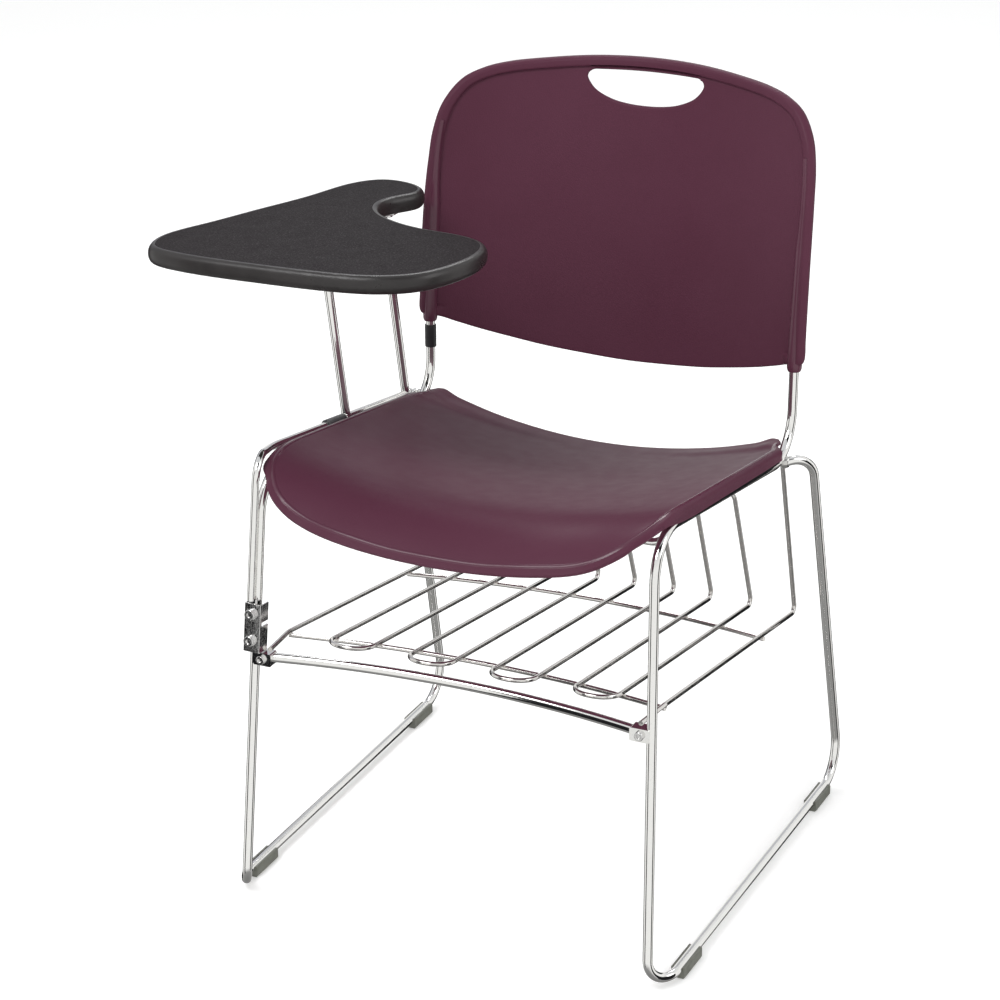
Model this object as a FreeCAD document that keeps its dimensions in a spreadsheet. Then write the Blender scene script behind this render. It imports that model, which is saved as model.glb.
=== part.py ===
import FreeCAD, Part
import math
import os
import Sketcher

# Student desk chair: sled-base wire chair with moulded seat and back, a book
# basket under the seat and a swing-away writing tablet on the sitter's right.
# Frame: millimetres, +Z up, floor at z = 0, the sitter faces -Y, the origin is
# the floor point midway between the two runners.

V = FreeCAD.Vector
doc = FreeCAD.newDocument("student_desk_chair")
sheet = doc.addObject("Spreadsheet::Sheet", "dims")

DIMS = [
    ("rod_d", 10.0), ("wire_d", 5.0), ("tabrod_d", 8.0), ("support_d", 9.5),
    ("tube_od", 11.0), ("tube_bore", 8.1), ("tube_len", 151.5),
    ("collar_od", 12.0), ("collar_len", 38.0), ("stop_len", 4.0),
    ("rail_slope", 0.1453), ("rail_z", 440.2), ("rail_x", 213.2),
    ("ridge_z", 457.8), ("ridge_slope", 0.137), ("flange_z", 444.6),
    ("flange_slope", 0.128), ("seat_half", 220.8), ("seat_t", 4.5),
    ("dish_depth", 34.0), ("back_t", 4.5), ("back_half", 223.5),
    ("glide_len", 46.0), ("glide_w", 15.0), ("glide_h", 9.0),
    ("tablet_z", 670.0), ("tablet_t", 18.6), ("laminate_t", 0.9), ("band_t", 7.5),
    ("bolt_d", 5.0), ("bolt_head_d", 11.4), ("bolt_head_h", 3.6),
    ("nut_af", 8.0), ("nut_h", 4.0), ("washer_d", 12.0), ("washer_t", 1.0),
    ("bracket_w", 18.4), ("bracket_d", 16.6), ("bracket_len", 52.0), ("bracket_t", 1.6),
    ("sleeve_od", 12.6), ("sleeve_len", 25.5), ("plate_t", 2.5),
    ("basket_z", 250.3), ("basket_slope", 0.15), ("bar_z", 270.5), ("bar_y", -229.0),
]
for i, (alias, value) in enumerate(DIMS, start=1):
    sheet.set("A%d" % i, alias)
    sheet.set("B%d" % i, str(value))
    sheet.setAlias("B%d" % i, alias)
doc.recompute()


def D(alias):
    return float(sheet.get(alias))


PARTS = []


# ---------------------------------------------------------------- helpers
def unit(a):
    b = V(a)
    b.normalize()
    return b


def path_wire(points, radii):
    """A wire of straight runs joined by round bends."""
    pts = [V(*p) for p in points]
    edges = []
    last = pts[0]
    for i in range(1, len(pts) - 1):
        a = unit(pts[i - 1] - pts[i])
        b = unit(pts[i + 1] - pts[i])
        half = a.getAngle(b) / 2.0
        r = radii[i - 1]
        reach = r / math.tan(half)
        start = pts[i] + a * reach
        end = pts[i] + b * reach
        middle_dir = unit(a + b)
        centre = pts[i] + middle_dir * (r / math.sin(half))
        middle = centre - middle_dir * r
        if (start - last).Length > 1e-6:
            edges.append(Part.makeLine(last, start))
        edges.append(Part.Arc(start, middle, end).toShape())
        last = end
    edges.append(Part.makeLine(last, pts[-1]))
    return Part.Wire(edges)


def ring_wire(points, radii):
    """A closed wire of straight runs joined by round bends."""
    pts = [V(*p) for p in points]
    n = len(pts)
    bends = []
    for i in range(n):
        a = unit(pts[i - 1] - pts[i])
        b = unit(pts[(i + 1) % n] - pts[i])
        half = a.getAngle(b) / 2.0
        reach = radii[i] / math.tan(half)
        middle_dir = unit(a + b)
        middle = pts[i] + middle_dir * (radii[i] / math.sin(half) - radii[i])
        bends.append((pts[i] + a * reach, middle, pts[i] + b * reach))
    edges = []
    for i in range(n):
        start, middle, end = bends[i]
        edges.append(Part.Arc(start, middle, end).toShape())
        edges.append(Part.makeLine(end, bends[(i + 1) % n][0]))
    # start half way along the last straight run
    a, b = edges[-1].Vertexes[0].Point, edges[-1].Vertexes[1].Point
    mid = (a + b) * 0.5
    edges = [Part.makeLine(mid, b)] + edges[:-1] + [Part.makeLine(a, mid)]
    return Part.Wire(edges)


def sweep_round(wire, r):
    first = wire.Edges[0]
    p = first.valueAt(first.FirstParameter)
    t = first.tangentAt(first.FirstParameter)
    circle = Part.Wire(Part.makeCircle(r, p, t))
    solid = wire.makePipeShell([circle], True, True)
    if solid.ShapeType != "Solid":
        solid = Part.Solid(Part.Shell(solid.Faces))
    if solid.Volume < 0:
        solid.reverse()
    return solid


def rod(points, radii, r):
    return sweep_round(path_wire(points, radii), r)


def feature(name, shape, placement=None):
    obj = doc.addObject("Part::Feature", name)
    obj.Label = name
    obj.Shape = shape
    obj.Placement = placement or FreeCAD.Placement()
    PARTS.append(obj)
    return obj


def frame_for(direction, side=None):
    """Rotation taking local +Z to direction, local +X near side."""
    z = unit(direction)
    x = V(side) if side is not None else V(1, 0, 0)
    x = x - z * x.dot(z)
    x.normalize()
    y = z.cross(x)
    return FreeCAD.Rotation(x, y, z, "ZXY")


def new_body(name):
    body = doc.addObject("PartDesign::Body", name)
    body.Label = name
    return body


def origin_plane(body, role):
    for feat in body.Origin.OriginFeatures:
        if feat.Role == role:
            return feat
    raise RuntimeError("no plane " + role)


def new_sketch(body, name, role="XY_Plane"):
    sk = body.newObject("Sketcher::SketchObject", name)
    sk.AttachmentSupport = [(origin_plane(body, role), "")]
    sk.MapMode = "FlatFace"
    return sk


def add_circle(sk, cx, cy, expression):
    gi = sk.addGeometry(Part.Circle(V(cx, cy, 0), V(0, 0, 1), 1.0), False)
    ci = sk.addConstraint(Sketcher.Constraint("Diameter", gi, 4.0))
    sk.setExpression("Constraints[%d]" % ci, expression)
    if abs(cx) < 1e-9 and abs(cy) < 1e-9:
        sk.addConstraint(Sketcher.Constraint("Coincident", gi, 3, -1, 1))
    else:
        sk.addConstraint(Sketcher.Constraint("DistanceX", gi, 3, cx) if cx >= 0 else
                         Sketcher.Constraint("DistanceX", gi, 3, -1, 1, -cx))
        if abs(cy) < 1e-9:
            sk.addConstraint(Sketcher.Constraint("PointOnObject", gi, 3, -1))
        else:
            sk.addConstraint(Sketcher.Constraint("DistanceY", gi, 3, cy) if cy >= 0 else
                             Sketcher.Constraint("DistanceY", gi, 3, -1, 1, -cy))
    return gi


def add_poly(sk, pts):
    n = len(pts)
    ids = []
    for k in range(n):
        a, b = pts[k], pts[(k + 1) % n]
        ids.append(sk.addGeometry(Part.LineSegment(V(a[0], a[1], 0), V(b[0], b[1], 0)), False))
    for k in range(n):
        sk.addConstraint(Sketcher.Constraint("Coincident", ids[k], 2, ids[(k + 1) % n], 1))
    return ids


def pad(body, sk, name, expression, symmetric=False):
    feat = body.newObject("PartDesign::Pad", name)
    feat.Profile = sk
    feat.Length = 1.0
    feat.setExpression("Length", expression)
    if symmetric:
        feat.Midplane = True
    return feat


def ring_body(name, outer, bore, length, place):
    """A round tube: outer and bore diameters and length are sheet expressions."""
    body = new_body(name)
    sk = new_sketch(body, name + "_sk")
    add_circle(sk, 0, 0, outer)
    if bore:
        add_circle(sk, 0, 0, bore)
    pad(body, sk, name + "_pad", length)
    body.Placement = place
    PARTS.append(body)
    return body


def fastener(head_d, head_h, shank_d, shank_l, rounded=0.9):
    """Pan-head screw along +Z: shank from z = 0 down to -shank_l, head above."""
    head = Part.makeCylinder(head_d / 2.0, head_h)
    head = head.makeFillet(rounded, [e for e in head.Edges
                                     if isinstance(e.Curve, Part.Circle) and e.Curve.Center.z > head_h / 2])
    recess = Part.makeCylinder(head_d * 0.24, head_h * 0.45, V(0, 0, head_h * 0.55))
    shank = Part.makeCylinder(shank_d / 2.0, shank_l, V(0, 0, -shank_l))
    return head.cut(recess).fuse(shank).removeSplitter()


def hex_nut(af, h, bore):
    pts = [V(af / math.sqrt(3) * math.cos(math.radians(60 * k + 30)),
             af / math.sqrt(3) * math.sin(math.radians(60 * k + 30)), 0) for k in range(7)]
    pts[-1] = pts[0]
    prism = Part.Face(Part.makePolygon(pts)).extrude(V(0, 0, h))
    return prism.cut(Part.makeCylinder(bore / 2.0, h + 2, V(0, 0, -1)))


def placed(shape, pos, direction, side=None):
    s = shape.copy()
    s.Placement = FreeCAD.Placement(V(*pos), frame_for(V(*direction), side))
    return s


def grid_surface(grid):
    bs = Part.BSplineSurface()
    bs.interpolate([[V(*p) for p in row] for row in grid])
    return bs


def grid_solid(top, bottom):
    """Closed solid between two interpolated point grids of equal size."""
    st, sb = grid_surface(top), grid_surface(bottom)
    ft, fb = st.toShape(), sb.toShape()
    u0, u1, v0, v1 = st.bounds()
    U0, U1, V0, V1 = sb.bounds()
    sides = []
    for ct, cb in ((st.vIso(v0), sb.vIso(V0)), (st.vIso(v1), sb.vIso(V1)),
                   (st.uIso(u0), sb.uIso(U0)), (st.uIso(u1), sb.uIso(U1))):
        sides.append(Part.makeRuledSurface(ct.toShape(), cb.toShape()))
    shell = Part.Shell([ft, fb] + sides)
    shell.sewShape()
    solid = Part.Solid(shell)
    if solid.Volume < 0:
        shell.reverse()
        solid = Part.Solid(shell)
    return solid


def offset_grid(grid, depth):
    """Grid moved by depth(column) along its local normal (finite differences)."""
    n, m = len(grid), len(grid[0])
    normals = [[None] * m for _ in range(n)]
    for i in range(n):
        for j in range(m):
            a = V(*grid[min(i + 1, n - 1)][j]) - V(*grid[max(i - 1, 0)][j])
            b = V(*grid[i][min(j + 1, m - 1)]) - V(*grid[i][max(j - 1, 0)])
            c = a.cross(b)
            if c.Length > 0.35 * a.Length * b.Length:
                normals[i][j] = unit(c)
    for i in range(n):
        for j in range(m):
            if normals[i][j] is None:
                near = [normals[k][q] for k in range(max(0, i - 1), min(n, i + 2))
                        for q in range(max(0, j - 1), min(m, j + 2)) if normals[k][q] is not None]
                if not near:
                    near = [V(1, 0, 0) if j < m / 2 else V(-1, 0, 0)]
                total = V(0, 0, 0)
                for v in near:
                    total = total + v
                normals[i][j] = unit(total)
    out = []
    for i in range(n):
        row = []
        for j in range(m):
            p = V(*grid[i][j]) + normals[i][j] * depth(min(j, m - 1 - j))
            row.append((p.x, p.y, p.z))
        out.append(row)
    return out


# ------------------------------------------------------- side frames (rods)
R = D("rod_d") / 2.0


def rail_z(y):
    return D("rail_z") - D("rail_slope") * y


def leg_at(z, s=1):
    k = (rail_z(-209.7) - z) / (rail_z(-209.7) - FB[2])
    return V(s * (212.6 + (FB[0] - 212.6) * k), -209.7 + (FB[1] + 209.7) * k, z)


def upright_at(z, s=1):
    k = (z - rail_z(166.4)) / (515.0 - rail_z(166.4))
    return V(s * (213.1 + 0.4 * k), 166.4 + 2.4 * k, z)


def frame_z(y):
    """Height of the rail's centre line, with the start of its rear bend."""
    d = min(40.0, max(0.0, y - 112.7))
    return rail_z(y) + 47.5 - math.sqrt(47.5 ** 2 - d * d)


FB = (227.8, -256.2, 10.0)
FG = (244.8, -228.0, 10.0)
RB = (250.8, 255.2, 10.0)
RT = (240.2, 158.9, 425.5)


def side_points(s):
    return [(s * 213.9, 183.0, 646.0), (s * 213.5, 168.8, 515.0), (s * 213.1, 166.4, rail_z(166.4)),
            (s * 212.6, -209.7, rail_z(-209.7)), (s * FB[0], FB[1], FB[2]), (s * FG[0], FG[1], FG[2]),
            (s * RB[0], RB[1], RB[2]), (s * RT[0], RT[1], RT[2]), (s * 217.9, 138.0, 420.2)]


SIDE_R = [140.0, 47.5, 47.5, 24.0, 28.0, 38.7, 27.0]
# local frame of the tablet bracket on the sitter's right front leg
BR_UP = unit(leg_at(340, -1) - leg_at(270, -1))
BR_ROT = frame_for(BR_UP, V(1, 0, 0))          # local z up the leg, x to the sitter's left
BR_PLACE = FreeCAD.Placement(leg_at(278.5, -1), BR_ROT)
BR_H = ((290.5 - 278.5) / BR_UP.z, (319.0 - 278.5) / BR_UP.z)
frames = {}
for s, tag in ((1, "left"), (-1, "right")):
    # s = +1 is the sitter's left side
    shape = rod(side_points(s), SIDE_R, R)
    if s == -1:
        # two cross holes in the front leg for the tablet bracket bolts
        for hh in BR_H:
            c = BR_PLACE.multVec(V(0, -20, hh))
            shape = shape.cut(Part.makeCylinder(2.65, 40, c, BR_PLACE.Rotation.multVec(V(0, 1, 0))))
    frames[s] = shape
    feature("side_frame_" + tag, shape)

# upper rear weld beads between the rear leg's end and the rail
beads = []
for s in (1, -1):
    ball = Part.makeSphere(6.6, V(s * 217.3, 137.6, 420.3))
    ball = ball.common(Part.makeBox(9, 14, 14, V(217.2 - 4.5 if s > 0 else -217.2 - 4.5, 130.6, 413.3)))
    beads.append(ball.cut(frames[s]))
beads = [max(b.Solids, key=lambda q: q.Volume) for b in beads]
feature("rear_leg_welds", Part.makeCompound(beads))

# ------------------------------------------------------- front crossbar
BZ, BY = D("bar_z"), D("bar_y")


def bar_y(x, end=214.0, bow=24.5):
    return BY + bow * (1 - (x / end) ** 2)


bar_wire = Part.Wire(Part.Arc(V(-203.5, bar_y(203.5), BZ), V(0, bar_y(0), BZ), V(203.5, bar_y(203.5), BZ)).toShape())
bar = sweep_round(bar_wire, R)
feature("front_crossbar", bar)

# clamps joining the crossbar to the front legs, their bolts and nuts
clamp_bolts, clamp_nuts = [], []
for s, tag in ((1, "left"), (-1, "right")):
    x0 = 198.0
    box = Part.makeBox(22.0, 13.0, 14.0, V(x0 if s > 0 else -x0 - 22.0, BY - 6.5, BZ - 7.0))
    box = box.makeFillet(2.0, [e for e in box.Edges if abs(e.tangentAt(e.FirstParameter).y) > 0.9])
    axis = unit(leg_at(200, s) - leg_at(400, s))
    c = leg_at(BZ, s)
    box = box.cut(Part.makeCylinder(R + 0.02, 120, c - axis * 60, axis))
    box = box.cut(Part.makeBox(40, 60, 60, V(c.x if s > 0 else c.x - 40, c.y - 30, c.z - 30)))
    t = unit(V(s * 203.5, bar_y(203.5), BZ) - V(s * 196.0, bar_y(196.0), BZ))
    start = V(s * 203.9, bar_y(203.9), BZ)
    box = box.cut(Part.makeCylinder(R + 0.15, 14, start - t * 14, t))
    bx = s * 208.9
    box = box.cut(Part.makeCylinder(2.6, 40, V(bx, BY - 20, BZ), V(0, 1, 0)))
    box = max(box.Solids, key=lambda q: q.Volume)
    feature("crossbar_clamp_" + tag, box)
    clamp_bolts.append(placed(fastener(9.6, 3.4, D("bolt_d"), 19.0), (bx, BY - 6.5, BZ), (0, -1, 0)))
    clamp_nuts.append(placed(hex_nut(D("nut_af"), D("nut_h"), D("bolt_d") + 0.1), (bx, BY + 6.5, BZ), (0, 1, 0)))
feature("crossbar_bolts", Part.makeCompound(clamp_bolts))
feature("crossbar_nuts", Part.makeCompound(clamp_nuts))

# ------------------------------------------------------- under-seat cross rods
SEAT_R = 4.0
for nm, y, low in (("seat_cross_rod_front", -88.0, rail_z(-88.0) - 46.0), ("seat_cross_rod_rear", 136.5, 386.9)):
    z = frame_z(y)
    pts = [(-208.6, y, z - 1.0), (-196.0, y, z - 3.0), (-168.0, y, low), (168.0, y, low),
           (196.0, y, z - 3.0), (208.6, y, z - 1.0)]
    feature(nm, rod(pts, [9.0, 18.0, 18.0, 9.0], SEAT_R))

# ------------------------------------------------------- book basket
W = D("wire_d") / 2.0


def bk_z(y):
    return D("basket_z") - D("basket_slope") * y


Y_FRONT, Y_BEND = -190.5, 202.0
loops = [(-160.6, -114.0), (-69.6, -22.4), (22.4, 69.6), (114.0, 160.6)]
for k, (xa, xb) in enumerate(loops):
    z_top = 386.9 - SEAT_R - W + 0.6
    y_top = 136.5
    ring = [(xa, y_top, z_top), (xa, Y_BEND, bk_z(Y_BEND)), (xa, Y_FRONT, bk_z(Y_FRONT)),
            (xb, Y_FRONT, bk_z(Y_FRONT)), (xb, Y_BEND, bk_z(Y_BEND)), (xb, y_top, z_top)]
    shape = sweep_round(ring_wire(ring, [16.0, 7.0, 21.5, 21.5, 7.0, 16.0]), W)
    feature("basket_loop_%d" % (k + 1), shape)

for s, tag in ((1, "left"), (-1, "right")):
    pts = [(s * 205.0, -223.6, BZ + R + W - 0.3), (s * 210.2, -176.0, bk_z(-176.0)),
           (s * 211.2, Y_BEND, bk_z(Y_BEND)), (s * 211.2, 144.5, frame_z(144.5) - R - W - 0.6)]
    feature("basket_side_wire_" + tag, rod(pts, [30.0, 7.0], W))


def cross_wire(name, y0, bow, xe):
    drop = 2 * W * 0.86
    ends = V(xe, y0, bk_z(y0) - drop)
    middle = V(0, y0 + bow, bk_z(y0 + bow) - drop)
    arc = Part.Arc(V(-ends.x, ends.y, ends.z), middle, ends).toShape()
    feature(name, sweep_round(Part.Wire(arc), W))


cross_wire("basket_cross_wire_front", -174.5, 27.0, 210.5)
cross_wire("basket_cross_wire_rear", 98.0, 32.0, 213.5)

# ------------------------------------------------------- glides
GL = D("glide_len")
for s, side in ((1, "left"), (-1, "right")):
    for yc, tag in ((-195.0, "front"), (186.0, "rear")):
        f = (yc - FG[1]) / (RB[1] - FG[1])
        xc = s * (FG[0] + (RB[0] - FG[0]) * f)
        direction = V(s * (RB[0] - FG[0]), RB[1] - FG[1], 0)
        body = new_body("glide_%s_%s" % (tag, side))
        sk = new_sketch(body, body.Name + "_sk", "XZ_Plane")
        # section across the runner: rounded foot with a part-round cradle
        hw, top, r = D("glide_w") / 2, 12.6, R + 0.04
        a0 = math.asin((top - 10.0) / r)
        cx = r * math.cos(a0)
        ids = []
        P = [(-cx, top), (-hw + 0.9, top), (-hw, top - 1.6), (-hw, 1.6), (-hw + 1.6, 0.0), (hw - 1.6, 0.0),
             (hw, 1.6), (hw, top - 1.6), (hw - 0.9, top), (cx, top)]
        for i in range(len(P) - 1):
            ids.append(sk.addGeometry(Part.LineSegment(V(P[i][0], P[i][1], 0), V(P[i + 1][0], P[i + 1][1], 0)), False))
        arc = Part.ArcOfCircle(Part.Circle(V(0, 10.0, 0), V(0, 0, 1), r), math.pi - a0, 2 * math.pi + a0)
        ia = sk.addGeometry(arc, False)
        for i in range(len(ids) - 1):
            sk.addConstraint(Sketcher.Constraint("Coincident", ids[i], 2, ids[i + 1], 1))
        sk.addConstraint(Sketcher.Constraint("Coincident", ia, 1, ids[0], 1))
        sk.addConstraint(Sketcher.Constraint("Coincident", ia, 2, ids[-1], 2))
        pad(body, sk, body.Name + "_pad", "dims.glide_len", True)
        ang = math.degrees(math.atan2(-direction.x, direction.y))
        body.Placement = FreeCAD.Placement(V(xc, yc, 0), FreeCAD.Rotation(V(0, 0, 1), ang))
        PARTS.append(body)

# ------------------------------------------------------- tablet hinge line
AX = -226.6
AZ = 452.4
SL = D("rail_slope")
adir = unit(V(0, 1, -SL))          # from front to rear along the hinge


def ax_pt(y):
    return V(AX, y, AZ - SL * y)


TR = D("tabrod_d") / 2.0
# fixed rod: rises in front of the leg, turns back over it, runs through the
# collar and the tube, and turns in to the side frame's rear bend
ROD_PTS = [(-219.62, -232.8, 333.6), (-213.9, -217.7, AZ + SL * 217.7 + 0.6), tuple(ax_pt(-165.0)),
           tuple(ax_pt(152.0)), (-217.6, 160.4, 430.0)]
ROD_R = [25.0, 110.0, 9.0]

# ------------------------------------------------------- seat shell
T = D("seat_t")
HW = D("seat_half")


def ridge(y):
    return D("ridge_z") - D("ridge_slope") * y


def flange(y):
    return D("flange_z") - D("flange_slope") * y


def dish(y):
    # depth of the saddle below the ridge line
    if y > 0:
        return D("dish_depth") - 1.0 * (164.0 - y) / 164.0
    return D("dish_depth") - 1.0 - 5.0 * min(1.0, -y / 150.0)


def step(q):
    q = min(1.0, max(0.0, q))
    return q * q * (3 - 2 * q)


def section(y):
    """Half section of the shell's upper face, from the flange's lower edge to the middle."""
    zr, zl, d = ridge(y), flange(y), dish(y)
    xo = HW - 12.4 * step((y - 120.0) / 20.0)
    if y > 105.0:
        # the flange runs out where the upright rises past the shell
        zl = max(zl, min(frame_z(min(y, 145.0)) + R + 1.2, zr - 3.2))
    half = [(xo, zl), (xo - 0.2, zl + 0.5 * (zr - zl)), (xo - 1.6, zl + 0.82 * (zr - zl)), (xo - 4.2, zr - 0.4),
            (xo - 8.5, zr - 0.5)]
    for x in (196.0, 178.0, 150.0, 112.0, 60.0, 0.0):
        half.append((x * xo / HW, zr - d * (1 - (x / (HW - 5.0)) ** 2)))
    return half


FRONT = [(214.5, -197.0, 473.0), (214.0, -204.0, 471.6), (211.0, -210.6, 468.6), (207.0, -214.6, 466.2),
         (201.5, -222.0, 462.6), (192.5, -234.6, 458.6), (177.0, -244.8, 449.4), (150.0, -252.4, 437.2),
         (111.0, -260.5, 430.8), (60.0, -263.2, 425.2), (0.0, -264.3, 423.2)]
grid = []
for y in (163.0, 156.0, 148.0, 140.0, 134.0, 127.0, 119.0, 108.0, 90.0, 45.0, 0.0, -45.0, -90.0, -130.0):
    # the rear edge is gently hollow in plan and its corners are rounded
    pull = 7.0 * max(0.0, (y - 142.0) / 21.0) ** 2.2
    row = []
    for x, z in section(y):
        shift = -3.0 * (1 - (x / HW) ** 2) * max(0.0, (y - 45.0) / 118.0)
        row.append((x - pull * max(0.0, (x - 150.0) / 58.0) ** 1.5, y + shift, z))
    grid.append(row + [(-x, yy, z) for x, yy, z in row[-2::-1]])
Y0 = -130.0
base = section(Y0)
slope = section(Y0 - 1.0)
for t in (0.28, 0.52, 0.72, 0.87, 1.0):
    half = []
    for i, (x, z) in enumerate(base):
        fx, fy, fz = FRONT[i]
        y = Y0 + (fy - Y0) * (1 - (1 - t) ** 1.0)
        run = Y0 - y
        zf = z + (slope[i][1] - z) * run
        e = t ** (1.3, 2.4, 2.6, 3.2, 3.2)[i] if i < 5 else t ** 3.1
        px = x + (fx - x) * t ** (5.0, 5.0, 4.4, 3.6, 3.2)[i] if i < 5 else x + (fx - x) * t ** 2.4
        half.append((px, y, zf + (fz - (z + (slope[i][1] - z) * (Y0 - fy))) * e))
    row = half + [(-x, y, z) for x, y, z in half[-2::-1]]
    grid.append(row)
seat_top = grid
# thinner in the skirt beside the rail than in the saddle
SKIRT = (1.8, 1.9, 2.7, 3.8, 4.4)


def wall(j):
    return SKIRT[j] if j < len(SKIRT) else T


seat_bottom = offset_grid(grid, lambda j: -wall(j))
probe = V(*seat_bottom[4][10]) - V(*seat_top[4][10])
if probe.z > 0:
    seat_bottom = offset_grid(grid, wall)
seat = grid_solid(seat_top, seat_bottom)

# ------------------------------------------------------- seat mounting pads
# short saddles that sit on the side rails and carry the shell


def under(x, y):
    return ridge(y) - dish(y) * (1 - (x / (HW - 5.0)) ** 2) - T * 1.045


pads, screws = [], []
PAD_L = 30.0
for s in (1, -1):
    for y in (-122.0, 92.0):
        d = unit(V(0, -1, D("rail_slope")))
        yb = y + PAD_L / 2
        zc = rail_z(yb)
        # local section: X across, Z up, origin on the rail's centre line
        low = min(under(201.0, yb) - rail_z(yb), under(201.0, yb - PAD_L) - rail_z(yb - PAD_L))
        low = min(low, 8.0) - 0.35
        ua = under(194.0, y) - under(201.0, y)
        ub = under(208.0, y) - under(201.0, y)
        prof = [(194.0, -4.0), (208.0, -4.0), (212.0, -2.0), (212.0, 3.0), (208.0, low + ub - 0.2), (194.0, low + ua - 0.2)]
        poly = [V(s * px, yb, zc + pz) for px, pz in prof]
        blk = Part.Face(Part.makePolygon(poly + [poly[0]])).extrude(d * (PAD_L / abs(d.y)))
        c = V(s * (213.1 - 0.5 * (166.4 - y) / 376.1), y, rail_z(y))
        blk = blk.cut(Part.makeCylinder(R + 0.3, 300, c - d * 150, d))
        blk = max(blk.Solids, key=lambda q: q.Volume)
        foot = V(s * 200.3, y + 1.5, rail_z(y) - 4.0)
        blk = blk.cut(Part.makeCylinder(2.05, 60, foot - V(0, 0, 20), V(0, 0, 1)))
        # flat spot for the screw head
        blk = blk.cut(Part.makeCylinder(5.2, 20, foot - V(0, 0, 20) + V(0, 0, 0.8), V(0, 0, 1)))
        blk = max(blk.Solids, key=lambda q: q.Volume)
        pads.append(blk)
        seat_at = under(200.5, y)
        length = seat_at - (foot.z + 0.8) + 2.0
        screws.append(placed(fastener(8.6, 2.6, 4.0, length, 0.7), (foot.x, foot.y, foot.z + 0.8), (0, 0, -1)))
        bore = Part.makeCylinder(2.2, length + 0.3)
        bore.Placement = FreeCAD.Placement(V(foot.x, foot.y, foot.z + 0.8), FreeCAD.Rotation(V(0, 0, 1), 37.0))
        seat = seat.cut(bore)
seat = max(seat.Solids, key=lambda q: q.Volume)
feature("seat_shell", seat)
feature("seat_mount_pads", Part.makeCompound(pads))
feature("seat_screws", Part.makeCompound(screws))

# ------------------------------------------------------- backrest shell
BT = D("back_t")
BH = D("back_half")


YC = ((430.0, 212.0), (477.0, 219.0), (520.0, 226.5), (580.0, 236.5), (640.0, 248.0), (700.0, 260.0),
      (745.0, 269.0), (800.0, 280.0), (840.0, 288.0))
YE = ((430.0, 160.0), (477.0, 161.5), (520.0, 164.0), (580.0, 168.8), (640.0, 176.3), (700.0, 187.5),
      (745.0, 198.0), (800.0, 212.0), (840.0, 223.0))


def table(rows, z):
    for (za, a), (zb, b) in zip(rows[:-1], rows[1:]):
        if z <= zb:
            break
    return a + (b - a) * (z - za) / (zb - za)


def back_y(x, z):
    """Front face of the back panel."""
    yc = table(YC, z)
    return yc - (yc - table(YE, z)) * (x / 220.0) ** 2


def back_slab(front, rear, x1=245.0, z0=440.0, z1=830.0):
    nx, nz = 19, 12
    a, b = [], []
    for i in range(nx):
        x = -x1 + 2 * x1 * i / (nx - 1)
        ra, rb = [], []
        for j in range(nz):
            z = z0 + (z1 - z0) * j / (nz - 1)
            # surface normal in plan
            g = (back_y(x + 0.5, z) - back_y(x - 0.5, z))
            k = math.sqrt(1 + g * g)
            ra.append((x + front * g / k, back_y(x, z) - front / k, z))
            rb.append((x - rear * g / k, back_y(x, z) + rear / k, z))
        a.append(ra)
        b.append(rb)
    return grid_solid(a, b)


def outline(inset):
    """Closed outline of the panel in XZ, inset inward."""
    i = inset
    top = [(-150.0, 791.5 - i), (-80.0, 799.5 - i), (0.0, 802.0 - i), (80.0, 799.5 - i), (150.0, 791.5 - i)]
    w = BH - i
    left = [(-w, 525.0), (-w + 0.6, 600.0), (-w + 1.8, 660.0), (-w + 5.0, 720.0)]
    right = [(-x, z) for x, z in left]
    cl = [(-w + 5.0, 720.0), (-w + 12.0, 752.0 - i * 0.4), (-w + 30.0, 777.0 - i * 0.8), (-150.0, 791.5 - i)]
    cr = [(-x, z) for x, z in cl]
    zb = 477.0 + i
    # the lower corners are rounded
    bot = [(-w + 26.0, 509.5 + i * 0.9), (-120.0, zb + 14.0), (0.0, zb), (120.0, zb + 14.0), (w - 26.0, 509.5 + i * 0.9)]

    def curve(pts):
        c = Part.BSplineCurve()
        c.interpolate([V(x, 0, z) for x, z in pts])
        return c.toShape()
    lc = [(-w, 525.0), (-w + 3.5, 516.0), (-w + 13.0, 511.4 + i * 0.6), (-w + 26.0, 509.5 + i * 0.9)]
    rc = [(-x, z) for x, z in lc]
    edges = [curve(left), curve(cl), curve(top), curve(cr[::-1]), curve(right[::-1]), curve(rc),
             curve(bot[::-1]), curve(lc[::-1])]
    wire = Part.Wire(Part.__sortEdges__(edges))
    return Part.Face(wire)


panel = back_slab(0.0, BT)
prism = outline(0.0).extrude(V(0, 400, 0))
prism.translate(V(0, 60, 0))
panel = panel.common(prism)
inner = outline(10.5).extrude(V(0, 420, 0))
inner.translate(V(0, 50, 0))
rim = back_slab(1.6, BT + 2.2).common(prism).cut(inner)
# the bead runs round the top and the sides only
rim = rim.cut(Part.makeBox(500, 420, 110, V(-250, 40, 440)))
panel = max(panel.Solids, key=lambda q: q.Volume)
rim = max(rim.Solids, key=lambda q: q.Volume)
back = panel.fuse(rim)
# tubular sockets for the uprights, along the rear of the side edges
bosses = []
for s in (1, -1):
    pts = [(s * 214.0, 187.4, 668.0), (s * 213.6, 169.0, 520.0), (s * 213.6, 168.75, 512.2)]
    w = path_wire(pts, [60.0])
    boss = sweep_round(w, 8.0)
    low_rim = [e for e in boss.Edges if isinstance(e.Curve, Part.Circle) and e.Curve.Center.z < 513.0]
    try:
        boss = boss.makeFillet(2.0, low_rim[:1])
    except Exception:
        pass
    bosses.append(boss)
for b in bosses:
    back = back.fuse(b)
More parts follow.
